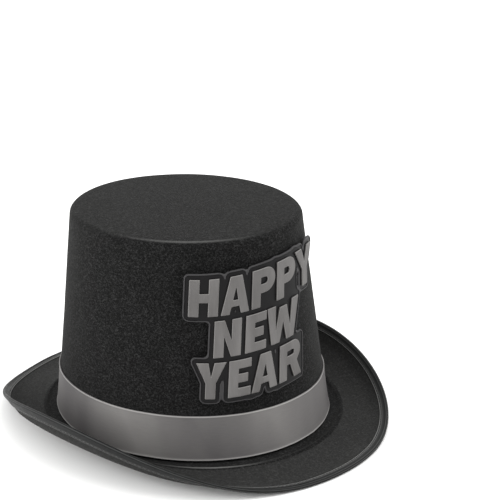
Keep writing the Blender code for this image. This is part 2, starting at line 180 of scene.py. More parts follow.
def addNode(tree, kind, settings, inputs):
    node = tree.nodes.new(kind)
    for name, value in settings.items():
        setattr(node, name, value)
    for name, value in inputs.items():
        if isinstance(value, bpy.types.NodeSocket):
            tree.links.new(value, node.inputs[name])
        else:
            node.inputs[name].default_value = value
    return node


def newMaterial(name, settings):
    # a material with its shader's own sockets set, and its tree and shader
    made = bpy.data.materials.new(name)
    made.use_nodes = True
    shader = made.node_tree.nodes["Principled BSDF"]
    for socket, value in settings.items():
        shader.inputs[socket].default_value = value
    return made, made.node_tree, shader


def bandsOf(tree, value, stops):
    # a colour ramp through (position, hex) stops
    ramp = addNode(tree, "ShaderNodeValToRGB", {}, {"Fac": value})
    elements = ramp.color_ramp.elements
    while len(elements) < len(stops):
        elements.new(0.5)
    for element, (position, hexCode) in zip(elements, stops):
        element.position = position
        element.color = colour(hexCode)
    return ramp.outputs["Color"]


def coverSurface(tree, shader, tint, height, relief, highlight=None):
    # the end of each material: its tint, lighter where a highlight is painted on the mesh, and its
    # relief
    if highlight:
        hexCode, share = highlight
        paintedHighlight = addNode(tree, "ShaderNodeAttribute", {"attribute_name": "paintedHighlight"}, {})
        much = addNode(tree, "ShaderNodeMath", {"operation": "MULTIPLY"},
                       {0: paintedHighlight.outputs["Fac"], 1: share})
        tint = addNode(tree, "ShaderNodeMix", {"data_type": "RGBA"},
                       {0: much.outputs[0], 6: tint, 7: colour(hexCode)}).outputs[2]
    tree.links.new(tint, shader.inputs["Base Color"])
    strength, distance = relief
    bump = addNode(tree, "ShaderNodeBump", {}, {"Strength": strength, "Distance": distance,
                                                "Height": height})
    tree.links.new(bump.outputs["Normal"], shader.inputs["Normal"])


# Felt: needled polyester staple, pressed hot over a block. The eye sees short curled fibres
# lying every way, a faint mottle where the web is denser, and a soft grey bloom at grazing angles.
# Fibres are 0.02 mm; they are drawn about 0.8 mm wide so that they show.
feltLook = {
    "dark": "040404",
    "body": "0f0f0f",
    "fibre": "2a2a2a",
    # painted highlight: pale grey laid on the crown's tip edge, the brim's ridge and, faintly, the
    # outer brim
    "highlight": "8a8a88",
    "highlightShare": 0.55,
    "mottleShare": 0.08,
    "fibreSize": 0.0008,
    "mottleSize": 0.018,
    "raised": 0.00035,
}


def makeFelt():
    made, tree, shader = newMaterial("needled polyester felt", {
        "Roughness": 0.96, "IOR": 1.48, "Sheen Weight": 0.11, "Sheen Roughness": 0.5,
        "Sheen Tint": colour("9a9a98"), "Specular IOR Level": 0.08})
    place = addNode(tree, "ShaderNodeTexCoord", {}, {}).outputs["Object"]
    layers = []
    for turn, squeeze in (((0.3, 0.5, 0.2), (1, 0.35, 0.7)), ((1.2, 0.1, 1.3), (0.4, 1, 0.6)),
                          ((0.7, 1.4, 2.2), (0.7, 0.45, 1))):
        turned = addNode(tree, "ShaderNodeMapping", {"vector_type": "POINT"},
                         {"Vector": place, "Rotation": turn, "Scale": squeeze})
        fibres = addNode(tree, "ShaderNodeTexNoise", {},
                         {"Vector": turned.outputs["Vector"], "Scale": 1 / feltLook["fibreSize"],
                          "Detail": 1.0, "Roughness": 0.6, "Distortion": 0.8})
        layers.append(fibres.outputs["Fac"])
    high = addNode(tree, "ShaderNodeMath", {"operation": "MAXIMUM"}, {0: layers[0], 1: layers[1]})
    lie = addNode(tree, "ShaderNodeMath", {"operation": "MAXIMUM"},
                  {0: high.outputs[0], 1: layers[2]})
    mottle = addNode(tree, "ShaderNodeTexNoise", {},
                     {"Vector": place, "Scale": 1 / feltLook["mottleSize"], "Detail": 4.0,
                      "Roughness": 0.6})
    dense = addNode(tree, "ShaderNodeMath", {"operation": "MULTIPLY_ADD"},
                    {0: mottle.outputs["Fac"], 1: feltLook["mottleShare"], 2: lie.outputs[0]})
    tint = bandsOf(tree, dense.outputs[0], ((0.50, feltLook["dark"]), (0.62, feltLook["body"]),
                                            (0.78, feltLook["fibre"])))
    # the felt is painted lighter where a highlight is painted on the mesh
    coverSurface(tree, shader, tint, lie.outputs[0], (0.85, feltLook["raised"]),
                 (feltLook["highlight"], feltLook["highlightShare"]))
    return made


# Binding: filament polyester tape, plain woven and folded on a machine. Its flat filaments give
# a smooth grey lustre with fine ribs across; threads are 0.3 mm apart, drawn 0.9 mm apart.
tapeLook = {
    "dark": "090909",
    "light": "1c1d1d",
    # painted highlight: pale grey laid on the selvedge crests and the fold lines
    "highlight": "858583",
    "highlightShare": 0.85,
    "ribShare": 0.25,
    "rib": 0.0009,
    "raised": 0.00012,
}


def makeTape():
    made, tree, shader = newMaterial("woven polyester tape", {
        "Roughness": 0.46, "IOR": 1.5, "Sheen Weight": 0.02, "Sheen Roughness": 0.4,
        "Sheen Tint": colour("b0b0b0"), "Specular IOR Level": 0.11})
    cloth = addNode(tree, "ShaderNodeUVMap", {"uv_map": "cloth"}, {}).outputs["UV"]
    ribs = addNode(tree, "ShaderNodeTexWave", {"wave_type": "BANDS", "bands_direction": "X"},
                   {"Vector": cloth, "Scale": waveSpacing / tapeLook["rib"], "Distortion": 1.2,
                    "Detail": 2.0, "Detail Scale": 1.5})
    place = addNode(tree, "ShaderNodeTexCoord", {}, {}).outputs["Object"]
    slub = addNode(tree, "ShaderNodeTexNoise", {},
                   {"Vector": place, "Scale": 260.0, "Detail": 5.0, "Roughness": 0.65})
    mix = addNode(tree, "ShaderNodeMath", {"operation": "MULTIPLY_ADD"},
                  {0: ribs.outputs["Fac"], 1: tapeLook["ribShare"], 2: slub.outputs["Fac"]})
    tint = bandsOf(tree, mix.outputs[0], ((0.35, tapeLook["dark"]), (0.85, tapeLook["light"])))
    rough = addNode(tree, "ShaderNodeMapRange", {},
                    {"Value": slub.outputs["Fac"], "From Min": 0.3, "From Max": 0.7,
                     "To Min": 0.38, "To Max": 0.58})
    tree.links.new(rough.outputs["Result"], shader.inputs["Roughness"])
    # the tape is painted lighter where a highlight is painted on the mesh
    coverSurface(tree, shader, tint, mix.outputs[0], (0.6, tapeLook["raised"]),
                 (tapeLook["highlight"], tapeLook["highlightShare"]))
    return made


# Ribbon: satin weave faced with silver foil. The eye sees broad soft bands of light and grey
# leaning round the band, painted in as reflections, a fine weft grain and a thin bright edge,
# a painted highlight.
ribbonLook = {
    "shade": "5a5858",
    "body": "6c6a69",
    "light": "7f7d7b",
    # painted highlight: a pale line on the rolled selvedge at both edges
    "highlight": "a8a6a4",
    "highlightShare": 0.8,
    "bandShare": 0.4,
    "grainShare": 0.14,
    "halfRound": 0.31,  # metres from the sign's side to the join
    "bandSize": 0.030,
    "thread": 0.0008,
    "slant": -0.5,
    "raised": 0.00005,
}
# Painted reflections: soft light and dark bands of the satin's lustre along its length, from the join
# round to the join
ribbonSheenBands = ((0.0, "505050"), (0.10, "b0b0b0"), (0.27, "202020"), (0.34, "c0c0c0"),
               (0.41, "303030"), (0.49, "a0a0a0"), (0.60, "404040"), (0.72, "c0c0c0"),
               (0.86, "303030"), (1.0, "505050"))


def makeRibbon():
    made, tree, shader = newMaterial("silver foil satin ribbon", {
        "Metallic": 0.1, "Roughness": 0.6, "IOR": 1.5, "Specular IOR Level": 0.15})
    cloth = addNode(tree, "ShaderNodeUVMap", {"uv_map": "cloth"}, {}).outputs["UV"]
    upright = addNode(tree, "ShaderNodeMapping", {"vector_type": "POINT"},
                      {"Vector": cloth, "Rotation": (0, 0, 0.25), "Scale": (1, 0.22, 1)})
    slanted = addNode(tree, "ShaderNodeMapping", {"vector_type": "POINT"},
                      {"Vector": cloth, "Rotation": (0, 0, ribbonLook["slant"])})
    bands = addNode(tree, "ShaderNodeTexNoise", {},
                    {"Vector": upright.outputs["Vector"], "Scale": 1 / ribbonLook["bandSize"],
                     "Detail": 1.5, "Roughness": 0.4, "Distortion": 0.3})
    weft = addNode(tree, "ShaderNodeMapping", {"vector_type": "POINT"},
                   {"Vector": cloth, "Scale": (0.12, 1, 1)})
    grain = addNode(tree, "ShaderNodeTexNoise", {},
                    {"Vector": weft.outputs["Vector"], "Scale": 1 / ribbonLook["thread"],
                     "Detail": 3.0, "Roughness": 0.6})
    along = addNode(tree, "ShaderNodeSeparateXYZ", {}, {"Vector": slanted.outputs["Vector"]})
    share = addNode(tree, "ShaderNodeMapRange", {},
                    {"Value": along.outputs["X"], "From Min": -ribbonLook["halfRound"],
                     "From Max": ribbonLook["halfRound"]})
    # painted reflection bands along the ribbon
    sheenBands = bandsOf(tree, share.outputs["Result"], ribbonSheenBands)
    level = addNode(tree, "ShaderNodeMath", {"operation": "MULTIPLY_ADD"},
                    {0: bands.outputs["Fac"], 1: ribbonLook["bandShare"], 2: sheenBands})
    mix = addNode(tree, "ShaderNodeMath", {"operation": "MULTIPLY_ADD"},
                  {0: grain.outputs["Fac"], 1: ribbonLook["grainShare"], 2: level.outputs[0]})
    tint = bandsOf(tree, mix.outputs[0], ((0.30, ribbonLook["shade"]), (0.55, ribbonLook["body"]),
                                          (0.80, ribbonLook["light"])))
    coverSurface(tree, shader, tint, grain.outputs["Fac"], (0.5, ribbonLook["raised"]),
                 (ribbonLook["highlight"], ribbonLook["highlightShare"]))
    return made


# Sweatband: cotton twill tape, matt, with slanting ribs 0.8 mm apart, drawn 1.2 mm apart
sweatLook = {"dark": "0f1011", "light": "2b2c2d", "rib": 0.0012, "raised": 0.0002}


def makeSweatCloth():
    made, tree, shader = newMaterial("cotton twill tape", {
        "Roughness": 0.9, "IOR": 1.47, "Sheen Weight": 0.2, "Sheen Roughness": 0.5})
    cloth = addNode(tree, "ShaderNodeUVMap", {"uv_map": "cloth"}, {}).outputs["UV"]
    slant = addNode(tree, "ShaderNodeMapping", {"vector_type": "POINT"},
                    {"Vector": cloth, "Rotation": (0, 0, 0.9)})
    ribs = addNode(tree, "ShaderNodeTexWave", {"wave_type": "BANDS", "bands_direction": "X"},
                   {"Vector": slant.outputs["Vector"], "Scale": waveSpacing / sweatLook["rib"],
                    "Distortion": 0.6, "Detail": 2.0})
    tint = bandsOf(tree, ribs.outputs["Fac"], ((0.1, sweatLook["dark"]), (0.9, sweatLook["light"])))
    coverSurface(tree, shader, tint, ribs.outputs["Fac"], (0.7, sweatLook["raised"]))
    return made


# Backing: grey-black card with a satin varnish, die cut, its rim embossed
# rim: the embossed rim's grey line, painted brighter as the highlight of its chamfer
boardLook = {"dark": "070607", "light": "0e0d0e", "rim": "424142", "rimShare": 0.7,
             "grain": 0.0016, "grainShare": 0.4, "raised": 0.00008}


def makeBoard():
    made, tree, shader = newMaterial("varnished black card", {
        "Roughness": 0.5, "IOR": 1.5, "Specular IOR Level": 0.16})
    place = addNode(tree, "ShaderNodeTexCoord", {}, {}).outputs["Object"]
    grain = addNode(tree, "ShaderNodeTexNoise", {},
                    {"Vector": place, "Scale": 1 / boardLook["grain"], "Detail": 4.0,
                     "Roughness": 0.6})
    cloud = addNode(tree, "ShaderNodeTexNoise", {},
                    {"Vector": place, "Scale": 45.0, "Detail": 2.0})
    mix = addNode(tree, "ShaderNodeMath", {"operation": "MULTIPLY_ADD"},
                  {0: grain.outputs["Fac"], 1: boardLook["grainShare"], 2: cloud.outputs["Fac"]})
    tint = bandsOf(tree, mix.outputs[0], ((0.45, boardLook["dark"]), (0.95, boardLook["light"])))
    rough = addNode(tree, "ShaderNodeMapRange", {},
                    {"Value": cloud.outputs["Fac"], "From Min": 0.3, "From Max": 0.7,
                     "To Min": 0.36, "To Max": 0.50})
    tree.links.new(rough.outputs["Result"], shader.inputs["Roughness"])
    coverSurface(tree, shader, tint, grain.outputs["Fac"], (0.4, boardLook["raised"]),
                 (boardLook["rim"], boardLook["rimShare"]))
    return made


# Letters: card faced with brushed silver foil. The eye sees a warm grey with soft upright
# drifts of lighter and darker tone, and a lighter cut edge, its bevel painted as a highlight.
foilLook = {
    "shade": "555352",
    "body": "5e5c5b",
    "light": "696766",
    # edge: painted highlight on the bevel all round each letter
    "edge": "868482",
    "edgeHighlightShare": 0.8,
    "grainShare": 0.3,
    "driftSize": 0.012,
    "brush": 0.0009,
    "raised": 0.00006,
}


def makeFoil():
    made, tree, shader = newMaterial("brushed silver foil card", {
        "Metallic": 0.15, "Roughness": 0.55, "IOR": 1.5, "Specular IOR Level": 0.3})
    place = addNode(tree, "ShaderNodeTexCoord", {}, {}).outputs["Object"]
    upright = addNode(tree, "ShaderNodeMapping", {"vector_type": "POINT"},
                      {"Vector": place, "Scale": (1, 1, 0.25)})
    drift = addNode(tree, "ShaderNodeTexNoise", {},
                    {"Vector": upright.outputs["Vector"], "Scale": 1 / foilLook["driftSize"],
                     "Detail": 2.0, "Roughness": 0.5})
    brushed = addNode(tree, "ShaderNodeMapping", {"vector_type": "POINT"},
                      {"Vector": place, "Scale": (1, 1, 0.08)})
    grain = addNode(tree, "ShaderNodeTexNoise", {},
                    {"Vector": brushed.outputs["Vector"], "Scale": 1 / foilLook["brush"],
                     "Detail": 3.0, "Roughness": 0.65})
    mix = addNode(tree, "ShaderNodeMath", {"operation": "MULTIPLY_ADD"},
                  {0: grain.outputs["Fac"], 1: foilLook["grainShare"], 2: drift.outputs["Fac"]})
    tint = bandsOf(tree, mix.outputs[0], ((0.45, foilLook["shade"]), (0.65, foilLook["body"]),
                                          (0.88, foilLook["light"])))
    coverSurface(tree, shader, tint, grain.outputs["Fac"], (0.4, foilLook["raised"]),
                 (foilLook["edge"], foilLook["edgeHighlightShare"]))
    return made


# Thread: black spun polyester, seen as light flecks on each stitch. Glue: hot melt, cloudy and a
# little yellow, with a smooth skin. Wire: drawn steel with a thin, patchy grey oxide.
smallFinishes = {
    "thread": ("spun polyester thread",
               {"Roughness": 0.6, "IOR": 1.5, "Sheen Weight": 0.3, "Sheen Roughness": 0.4},
               {"Scale": 1400.0, "Detail": 2.0, "Roughness": 0.6},
               ((0.35, "1d1e1f"), (0.65, "4a4b4c")), (0.5, 0.00008)),
    "glue": ("hot melt glue",
             {"Roughness": 0.25, "IOR": 1.48, "Subsurface Weight": 0.4, "Subsurface Scale": 0.003},
             {"Scale": 400.0, "Detail": 3.0},
             ((0.3, "b9b29c"), (0.7, "d8d3c4")), (0.3, 0.0002)),
    "steel": ("drawn steel wire",
              {"Metallic": 1.0, "Roughness": 0.35},
              {"Scale": 500.0, "Detail": 4.0, "Roughness": 0.6},
              ((0.35, "6a6866"), (0.65, "a3a29f")), (0.3, 0.00004)),
}


def makeSmall(key):
    name, settings, cloudSettings, stops, relief = smallFinishes[key]
    made, tree, shader = newMaterial(name, settings)
    place = addNode(tree, "ShaderNodeTexCoord", {}, {}).outputs["Object"]
    cloud = addNode(tree, "ShaderNodeTexNoise", {}, {"Vector": place, **cloudSettings})
    tint = bandsOf(tree, cloud.outputs["Fac"], stops)
    coverSurface(tree, shader, tint, cloud.outputs["Fac"], relief)
    return made


felt = makeFelt()
tape = makeTape()
ribbon = makeRibbon()
sweatCloth = makeSweatCloth()
board = makeBoard()
foil = makeFoil()
thread = makeSmall("thread")
glue = makeSmall("glue")
steel = makeSmall("steel")
print("materials made")

# Camera: three quarters from the wearer's right, a little above, turned slightly about its axis
view = {
    "azimuth": -0.7501,
    "elevation": 0.38329,
    "distance": 1.01932,
    "target": (0, 0, 0.07163),
    "lens": 103.984,
    "shift": (0.1225, 0.1309),
    "roll": -0.03668,
}


def placeCamera():
    data = bpy.data.cameras.new("camera")
    data.sensor_width = 36
    data.lens = view["lens"]
    data.shift_x, data.shift_y = view["shift"]
    camera = bpy.data.objects.new("camera", data)
    level = math.cos(view["elevation"])
    back = Vector((math.sin(view["azimuth"]) * level, -math.cos(view["azimuth"]) * level,
                   math.sin(view["elevation"])))
    turned = back.to_track_quat("Z", "Y").to_matrix() @ Matrix.Rotation(view["roll"], 3, "Z")
    camera.matrix_world = Matrix.LocRotScale(Vector(view["target"]) + back * view["distance"],
                                             turned, None)
    bpy.context.scene.collection.objects.link(camera)
    bpy.context.scene.camera = camera


placeCamera()

# Crown: one pressed felt shell, its tip a little domed and its wall not quite even
crownSet = {
    "edgeRadius": 0.0050,
    "dome": 0.0008,
    "steps": 200,
    "wallRings": 34,
    "cornerRings": 9,
    "tipRings": 16,
    "uneven": 0.00035,
    "unevenSize": 0.045,
    # a painted highlight on the tip's edge, brightest round one angle, and a trace of painted light
    # over the whole crown
    "highlightAt": -0.80,
    "highlightWide": 0.45,
    "highlightLeast": 0.008,
    "highlightPeak": 0.5,
    "highlightFade": 0.25,  # lost at each ring away from the crest
    "evenBelow": 0.045,
    "evenFade": 0.03,
    "fineShare": 0.35,
    "tipDepth": 0.004,
}


def tipCorner(inset):
    lean = math.degrees(math.atan(wallSlope))
    top = hat["height"] - crownSet["dome"] - inset
    radius = crownSet["edgeRadius"] - inset
    side = wallRadius(top - radius) - inset * wallShare
    centre = (side - radius * math.cos(math.radians(lean)), top - radius)
    return arcPoints(centre, radius, lean, 90, crownSet["cornerRings"])


def crownFace(inset):
    # one face of the felt, from the foot to the middle of the tip
    corner = tipCorner(inset)
    points = []
    for ring in range(crownSet["wallRings"]):
        height = crownBase + (corner[0][1] - crownBase) * ring / crownSet["wallRings"]
        points.append((wallRadius(height) - inset * wallShare, height))
    points += corner
    for ring in range(1, crownSet["tipRings"] + 1):
        share = 1 - ring / crownSet["tipRings"]
        height = hat["height"] - inset - crownSet["dome"] * share ** 2
        points.append((corner[-1][0] * share, height))
    return points


def onFeltCrown(angle, radius, height):
    # the uneven hand of pressed felt, none under the band and the sign's glue
    place = onCrown(angle, radius, height)
    free = min(1.0, max(0.0, (height - crownSet["evenBelow"]) / crownSet["evenFade"]))
    wave = noise.noise(place / crownSet["unevenSize"])
    fine = noise.noise(place / (crownSet["unevenSize"] * crownSet["fineShare"]) + Vector((7, 3, 1)))
    shift = crownSet["uneven"] * free * (wave + crownSet["fineShare"] * fine)
    if height > hat["height"] - crownSet["tipDepth"]:
        return place + Vector((0, 0, shift * 0.5))
    return place * (1 - abs(shift) / wallRadius(height)) + Vector((0, 0, height * abs(shift)
                                                                   / wallRadius(height)))


def makeCrown():
    section = crownFace(0.0) + list(reversed(crownFace(hat["crownFelt"])))
    crest = crownSet["wallRings"] + crownSet["cornerRings"] - 2
    # the painted highlight peaks on the rings at the tip's edge and fades ring by ring
    peak, fade = crownSet["highlightPeak"], crownSet["highlightFade"]
    highlights = [max(0.0, peak - fade * abs(index - crest)) for index in range(crest + 4)]
    bm = turnBlank(section, crownSet["steps"], highlights)
    fadeHighlight(bm, crownSet["highlightAt"], crownSet["highlightWide"], crownSet["highlightLeast"], 0.0)
    block(bm, onFeltCrown)
    return finishPiece("crown_felt", bm, felt, "felt")


crownPiece = makeCrown()
standsFor(crownPiece, "felt", "crown")
print("crown made")

# Brim: felt with a collar inside the crown, a pressed ridge round the foot and curled sides
brimSet = {
    "frontWidth": 0.0427,
    "sideWidth": 0.0309,
    "corner": 0.018,
    "sideLift": 0.0304,
    "liftPower": 2.46,
    "flatShare": 0.20,
    "curlInset": 0.0042,
    "curlHeight": 0.518,
    "frontEase": 0.30,
    "strip": 0.0095,
    "ridgeHeight": 0.0012,
    "ridgeOut": 0.0094,
    "ridgeWidth": 0.0011,
    "ridgeSlope": 0.45,
    "ridgeFade": 0.005,
    "ridgeEnd": 0.0143,  # the felt is stretched only outside the ridge
    "blankWidth": 0.047,
    "steps": 288,
    "rings": 44,
    "bendSteps": 6,
    "curveSteps": 64,
    "fineRings": 28,  # close together over the ridge
    "fineFrom": 0.0012,
    "fineStep": 0.0006,
    "startEase": 0.1,
    "startLift": 0.0008,
    # a painted highlight along the pressed ridge, brightest round one angle, and painted light over
    # the brim outside it
    "highlightAt": -0.70,
    "highlightWide": 0.26,
    "highlightLeast": 0.09,
}
blankRadius = 0.100
collarOut = -(hat["crownFelt"] * wallShare + hat["fit"] + hat["brimFelt"] / 2)


def brimCurve(angle):
    # the felt's middle line at one angle, as (outward, height) from the crown's foot
    foot = onCrown(angle, hat["footRadius"], 0.0)
    corner = 1 + brimSet["corner"] * math.sin(2 * angle) ** 2
    halfWidth = hat["footRadius"] - hat["oval"] + brimSet["sideWidth"]
    halfLength = hat["footRadius"] + hat["oval"] + brimSet["frontWidth"]
    edge = Vector((halfWidth * corner * math.sin(angle), -halfLength * corner * math.cos(angle), 0))
    outward = (edge - foot).normalized()
    width = (edge - foot).length
    side = max(0.0, (abs(math.sin(angle)) - brimSet["flatShare"]) / (1 - brimSet["flatShare"]))
    edgeHeight = brimRest + brimSet["sideLift"] * side ** brimSet["liftPower"]
    bend = hat["collarBend"]
    bendOut = collarOut + bend
    start = Vector((bendOut, footHeight))
    easy = Vector((bendOut + brimSet["startEase"] * width, footHeight + brimSet["startLift"]))
    pull = Vector((width - brimSet["curlInset"] * side - width * brimSet["frontEase"] * (1 - side),
                   brimRest + (edgeHeight - brimRest) * brimSet["curlHeight"]))
    end = Vector((width, edgeHeight))
    run = (end - pull).normalized()
    strip = end - run * brimSet["strip"]
    pull = pull - run * brimSet["strip"] * 0.5
    points = [Vector((collarOut - wallSlope * hat["collarHeight"],
                      footHeight + bend + hat["collarHeight"]))]
    for x, y in arcPoints((bendOut, footHeight + bend), bend, 180, 270,
                          brimSet["bendSteps"]):
        points.append(Vector((x, y)))
    for step in range(1, brimSet["curveSteps"] + 1):
        t = step / brimSet["curveSteps"]
        points.append(start * (1 - t) ** 3 + easy * (3 * t * (1 - t) ** 2)
                      + pull * (3 * t * t * (1 - t)) + strip * t ** 3)
    points.append(end)
    return foot, outward, points


curveStore = {}


def brimLengths(angle):
    key = round(angle, 5)
    if key not in curveStore:
        foot, outward, points = brimCurve(angle)
        along = [0.0]
        for before, after in zip(points, points[1:]):
            along.append(along[-1] + (after - before).length)
        zero = along[brimSet["bendSteps"] + 1]
        curveStore[key] = (foot, outward, points, [value - zero for value in along])
    return curveStore[key]


def ridge(distance):
    # a narrow pressed crest with a long soft outer slope
    off = (distance - brimSet["ridgeOut"]) / brimSet["ridgeWidth"]
    if off > 0:
        off *= brimSet["ridgeSlope"]
    fade = min(1.0, max(0.0, distance / brimSet["ridgeFade"]))
    return brimSet["ridgeHeight"] * fade / (1 + off * off)


def onBrim(angle, radius, height):
    # radius is the distance out from the collar's bend, height stands off the felt's middle
    foot, outward, points, along = brimLengths(angle)
    distance = radius - blankRadius
    width, strip = brimSet["blankWidth"], brimSet["strip"]
    if distance > width - strip:
        distance = along[-1] - (width - distance)
    elif distance > brimSet["ridgeEnd"]:
        share = (distance - brimSet["ridgeEnd"]) / (width - strip - brimSet["ridgeEnd"])
        distance = brimSet["ridgeEnd"] + share * (along[-1] - strip - brimSet["ridgeEnd"])
    index = 1
    while index < len(along) - 1 and along[index] < distance:
        index += 1
    before, after = points[index - 1], points[index]
    run = (after - before).normalized()
    place = before + run * (distance - along[index - 1])
    if index < len(points) - 1:
        ahead = (distance - along[index - 1]) / (along[index] - along[index - 1])
        run = run.lerp((points[index + 1] - before).normalized(), ahead).normalized()
    place = place + Vector((-run.y, run.x)) * (height + ridge(distance))
    return Vector((foot.x, foot.y, 0)) + outward * place.x + Vector((0, 0, place.y))


def brimStations():
    bend = hat["collarBend"] * math.pi / 2
    stations = [-bend - hat["collarHeight"], -bend - hat["collarHeight"] / 2]
    turns = brimSet["bendSteps"]
    stations += [-bend * (1 - step / turns) for step in range(turns + 1)]
    stations += [brimSet["fineFrom"] + brimSet["fineStep"] * step
                 for step in range(brimSet["fineRings"])]
    first = stations[-1]
    rings = brimSet["rings"]
    stations += [first + (brimSet["blankWidth"] - first) * step / rings
                 for step in range(1, rings + 1)]
    return stations


def makeBrim():
    half = hat["brimFelt"] / 2
    section = [(blankRadius + place, half) for place in brimStations()]
    # the ridge's crest is painted lighter as a highlight
    crest = brimSet["ridgeOut"] + brimSet["ridgeWidth"] * 0.3
    highlights = [max(0.0, 1 - abs(place - crest) / brimSet["ridgeWidth"]) for place in brimStations()]
    section += [(blankRadius + place, -half) for place in reversed(brimStations())]
    bm = turnBlank(section, brimSet["steps"], highlights)
    fadeHighlight(bm, brimSet["highlightAt"], brimSet["highlightWide"], brimSet["highlightLeast"],
             blankRadius + brimSet["ridgeOut"] + 2 * brimSet["ridgeWidth"])
    block(bm, onBrim)
    return finishPiece("brim_felt", bm, felt, "felt")


brimPiece = makeBrim()
standsFor(brimPiece, "felt", "brim")
print("brim made")

# Binding: a tape folded over the wire, sewn 1 mm in from each edge
bindingSet = {
    "top": 0.0038,
    "under": 0.0050,
    "wire": 0.0007,
    "wireRoom": 0.0003,
    "lie": 0.0007,  # the tape's inner face above the felt's middle
    "wrap": 125,
    "wrapUnder": -90,
    "clothRadius": 0.135,
    "seamHeight": 0.00095,
    "seamIn": 0.0010,
    "wave": 0.0001,
    "steps": 288,
}
# The tape's outer face from its selvedge: how far in and how far up in millimetres, and how much
# painted highlight
tapeProfile = ((0.0, 0.80, 0.0), (0.08, 1.08, 0.5), (0.24, 1.28, 1.0), (0.45, 1.30, 0.8),
               (0.7, 1.16, 0.0), (1.0, 0.88, 0.0), (1.25, 1.12, 0.0), (1.6, 1.28, 0.6),
               (1.9, 1.30, 0.1), (3.4, 1.30, 0.0))
# Faint painted highlight lines round the fold from the top, where the tape is creased, then none
foldHighlights = (0.0, 0.0, 0.0, 0.35, 0.0, 0.0, 0.0, 0.0, 0.25, 0.0, 0.0, 0.0, 0.0, 0.3, 0.0)
underHighlight = 0.5  # the leg beneath gets less painted highlight


def foldCentre():
    fold = bindingSet["wire"] + bindingSet["wireRoom"]
    leg = hat["brimFelt"] / 2 + hat["fit"]
    return blankRadius + brimSet["blankWidth"] + fold, fold - leg


def makeBinding():
    fold = bindingSet["wire"] + bindingSet["wireRoom"]
    centre = foldCentre()
    edge = blankRadius + brimSet["blankWidth"]
    topEdge, underEdge = edge - bindingSet["top"], edge - bindingSet["under"]
    section = [(topEdge + inward / 1000, up / 1000) for inward, up, _ in tapeProfile]
    highlights = [highlight for _, _, highlight in tapeProfile] + list(foldHighlights)
    section += arcPoints(centre, fold + hat["tape"], bindingSet["wrap"],
                         bindingSet["wrapUnder"], 18)
    highlights += [0.0] * (len(section) - len(highlights))
    section += [(underEdge + inward / 1000, -up / 1000) for inward, up, _ in reversed(tapeProfile)]
    highlights += [highlight * underHighlight for _, _, highlight in reversed(tapeProfile)]
    section += [(underEdge, -bindingSet["lie"]), (edge, -bindingSet["lie"])]
    section += arcPoints(centre, fold, -80, bindingSet["wrap"], 14)
    section += [(edge, bindingSet["lie"]), (topEdge, bindingSet["lie"])]
    bm = turnBlank(section, bindingSet["steps"], highlights)
    wrapUv(bm, bindingSet["clothRadius"])

    def rule(angle, radius, height):
        ripple = noise.noise(Vector((math.sin(angle) * 19, math.cos(angle) * 19, radius * 90)))
        lift = bindingSet["wave"] * ripple if height > 0 else 0.0
        return onBrim(angle, radius, height + lift)
    block(bm, rule)
    return finishPiece("binding_tape", bm, tape, "tape")


def ringLength(rule, count=720):
    places = [rule(fullTurn * step / count) for step in range(count)]
    return sum((b - a).length for a, b in zip(places, places[1:] + places[:1]))


bindingPiece = makeBinding()
edgeLength = ringLength(lambda angle: onBrim(angle, blankRadius + brimSet["blankWidth"], 0.0))
standsFor(bindingPiece, "binding", "brim_binding")

# Stitches: small sunk lozenges of thread, each a few dozen faces
stitchSet = {"length": 0.0021, "pitch": 0.0031, "radius": 0.00020}


def sewRing(name, rule, out):
    # rule gives a place for an angle, out the way the cloth faces there
    bm = bmesh.new()
    count = round(ringLength(rule) / stitchSet["pitch"])
    for number in range(count):
        angle = fullTurn * (number + 0.5) / count - math.pi
        place = rule(angle)
        run = (rule(angle + 0.002) - rule(angle - 0.002)).normalized()
        up = out(angle).normalized()
        side = run.cross(up).normalized()
        up = side.cross(run)
        turned = Matrix((run, side, up)).transposed().to_4x4()
        size = Matrix.Diagonal((stitchSet["length"] / 2, stitchSet["radius"],
                                stitchSet["radius"], 1))
        bmesh.ops.create_uvsphere(bm, u_segments=6, v_segments=4, radius=1,
                                  matrix=Matrix.Translation(place) @ turned @ size
                                  @ Matrix.Rotation(math.pi / 2, 4, "Y"))
    return finishPiece(name, bm, thread, "round")


def seamPlace(edgeIn, height):
    radius = blankRadius + brimSet["blankWidth"] - edgeIn + bindingSet["seamIn"]
    return lambda angle: onBrim(angle, radius, height)


def seamOut(edgeIn, sign):
    radius = blankRadius + brimSet["blankWidth"] - edgeIn + bindingSet["seamIn"]
    return lambda angle: (onBrim(angle, radius, 0.002) - onBrim(angle, radius, 0.001)) * sign


seamHeight = bindingSet["seamHeight"]
topStitches = sewRing("binding_stitches_top", seamPlace(bindingSet["top"], seamHeight),
                      seamOut(bindingSet["top"], 1))
underStitches = sewRing("binding_stitches_under", seamPlace(bindingSet["under"], -seamHeight),
                        seamOut(bindingSet["under"], -1))
for piece in (topStitches, underStitches):
    standsFor(piece, "binding")
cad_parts["brim_wire"].data.materials.clear()
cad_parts["brim_wire"].data.materials.append(steel)
print("stitches made")

# Bands: the ribbon round the crown, its tab over the join, and the sweatband inside
bandSet = {
    "width": 0.0307,
    "lift": 0.0007,
    "cloth": 0.0006,
    "bead": 0.00022,
    "gape": 0.00025,
    "steps": 240,
    "tabWidth": 0.014,
    "tabPleat": 0.0004,
    "tabPleats": 5,
    "tabPinch": 0.10,
    "tabHem": 0.0006,
    "clothRadius": 0.0975,
    "edgeLevels": (0.0, 0.0004, 0.0008, 0.0012),
    "edgeRolls": (0.3, 1.0, 0.6, 0.0),  # of the bead, at those levels
    "rings": 14,
    "swell": 0.00018,
    "girthUp": 0.015,
    "girthOut": 0.0007,
}
bandBase = crownBase + bandSet["lift"]


